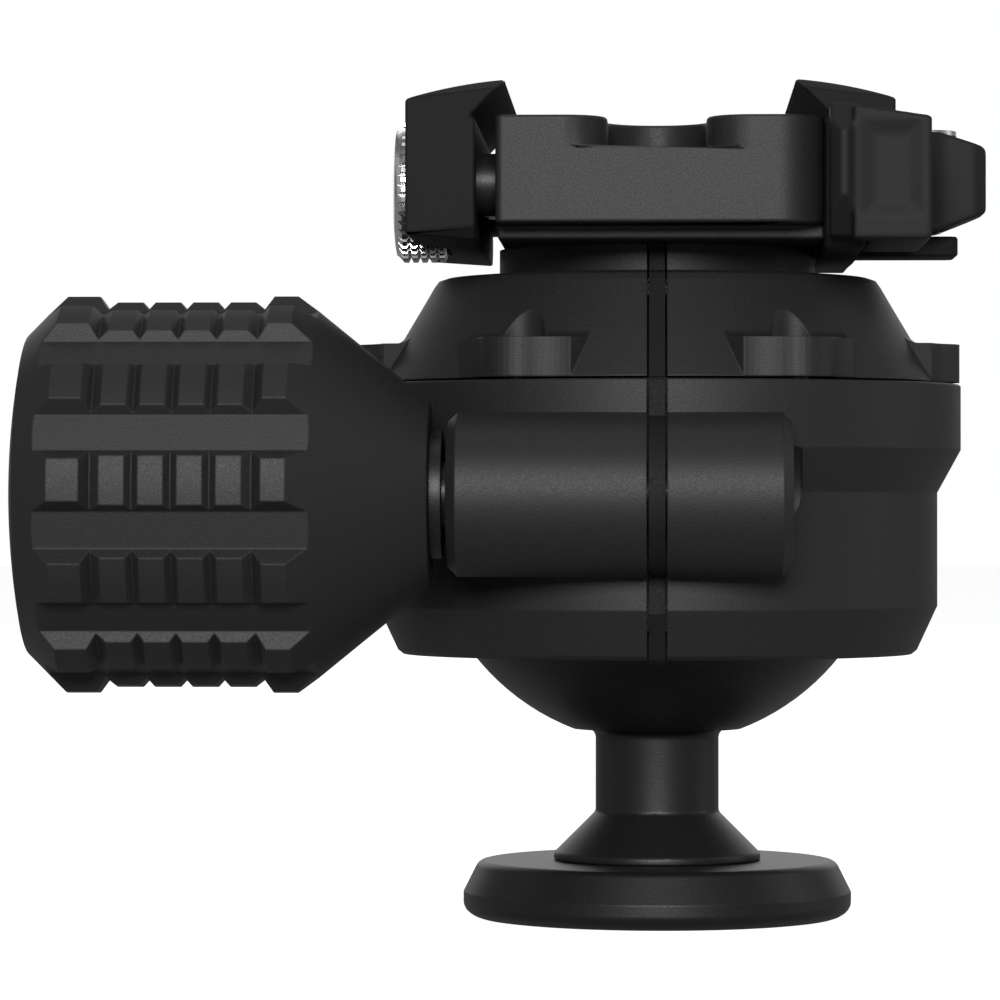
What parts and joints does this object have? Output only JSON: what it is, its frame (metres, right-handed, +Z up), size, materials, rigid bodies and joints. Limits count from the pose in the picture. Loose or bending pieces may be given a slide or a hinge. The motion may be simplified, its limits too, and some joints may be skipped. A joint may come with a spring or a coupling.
{
  "type": "tripod ball head",
  "caption": "Inverted ball head for a tripod, with a pinch knob that locks the ball and a lever clamp for dovetail plates.",
  "frame": {"origin": "centre of the base plate's lower face", "axes": "+Z up the stem, -X towards the pinch knob, -Y towards the slot and barrel in front, +X towards the lever"},
  "size_m": [0.0917, 0.0772, 0.0803],
  "materials": {
    "anodised": "bead-blasted black anodised",
    "satin_black": "satin black anodised",
    "steel": "turned",
    "bright_steel": "bright ground",
    "black_screw": "blackened",
    "polymer": "low friction acetal",
    "black_polymer": "moulded",
    "seal": "matte"
  },
  "bodies": {
    "base": {"base_plate": "anodised", "thread_bush": "steel", "base_screws": "steel", "ball_stem": "satin_black"},
    "dome": {"friction_dome": "polymer"},
    "liner": {"ball_liner": "polymer"},
    "head": {"main_housing": "anodised", "housing_cap": "anodised", "cap_screws": "black_screw", "preload_ring": "black_polymer", "slot_seal": "seal", "bolt_anchor": "steel", "clamp_collar": "anodised", "clamp_body": "anodised", "clamp_screws": "black_screw", "fixed_jaw": "anodised", "jaw_screws": "black_screw", "cam_plate": "steel"},
    "thrust": {"thrust_collar": "satin_black"},
    "knob": {"knob_body": "anodised", "knob_end_cap": "anodised", "knob_nut": "steel", "pinch_bolt": "black_screw"},
    "draw": {"draw_bolt": "steel", "lever_pin": "steel"},
    "lever": {"lever": "satin_black"},
    "jaw": {"moving_jaw": "anodised", "guide_pins": "satin_black", "jaw_springs": "steel"},
    "wheel": {"adjusting_wheel": "bright_steel"}
  },
  "joints": [
    {"name": "tilt_side", "type": "hinge", "parent": "base", "child": "dome", "pos_m": [0, 0, 0.0398], "axis": [0, 1, 0], "range_deg": [-30, 30]},
    {"name": "tilt_front", "type": "hinge", "parent": "dome", "child": "liner", "pos_m": [0, 0, 0.0398], "axis": [1, 0, 0], "range_deg": [-30, 30]},
    {"name": "swivel", "type": "hinge", "parent": "liner", "child": "head", "pos_m": [0, 0, 0.0398], "axis": [0, 0, 1], "continuous": true},
    {"name": "knob_travel", "type": "slide", "parent": "head", "child": "thrust", "axis": [1, 0, 0], "range_m": [-0.001, 0.00025]},
    {"name": "knob_turn", "type": "hinge", "parent": "thrust", "child": "knob", "pos_m": [-0.045, -0.029, 0.0414], "axis": [1, 0, 0], "range_deg": [-366, 96]},
    {"name": "lever_draw", "type": "slide", "parent": "head", "child": "draw", "axis": [1, 0, 0], "range_m": [-0.002, 0]},
    {"name": "lever_turn", "type": "hinge", "parent": "draw", "child": "lever", "pos_m": [0.0261, 0, 0.0713], "axis": [0, 0, 1], "range_deg": [-6, 96]},
    {"name": "jaw_adjust", "type": "slide", "parent": "draw", "child": "jaw", "axis": [1, 0, 0], "range_m": [-0.003, 0.001]},
    {"name": "wheel_turn", "type": "hinge", "parent": "jaw", "child": "wheel", "pos_m": [-0.0235, 0, 0.0713], "axis": [1, 0, 0], "range_deg": [-1110, 390]}
  ],
  "couplings": [
    {"joint": "knob_turn", "follows": "knob_travel", "rad_per_m": 6283.2},
    {"joint": "lever_turn", "follows": "lever_draw", "rad_per_m": -785.4},
    {"joint": "wheel_turn", "follows": "jaw_adjust", "rad_per_m": 6283.2}
  ]
}
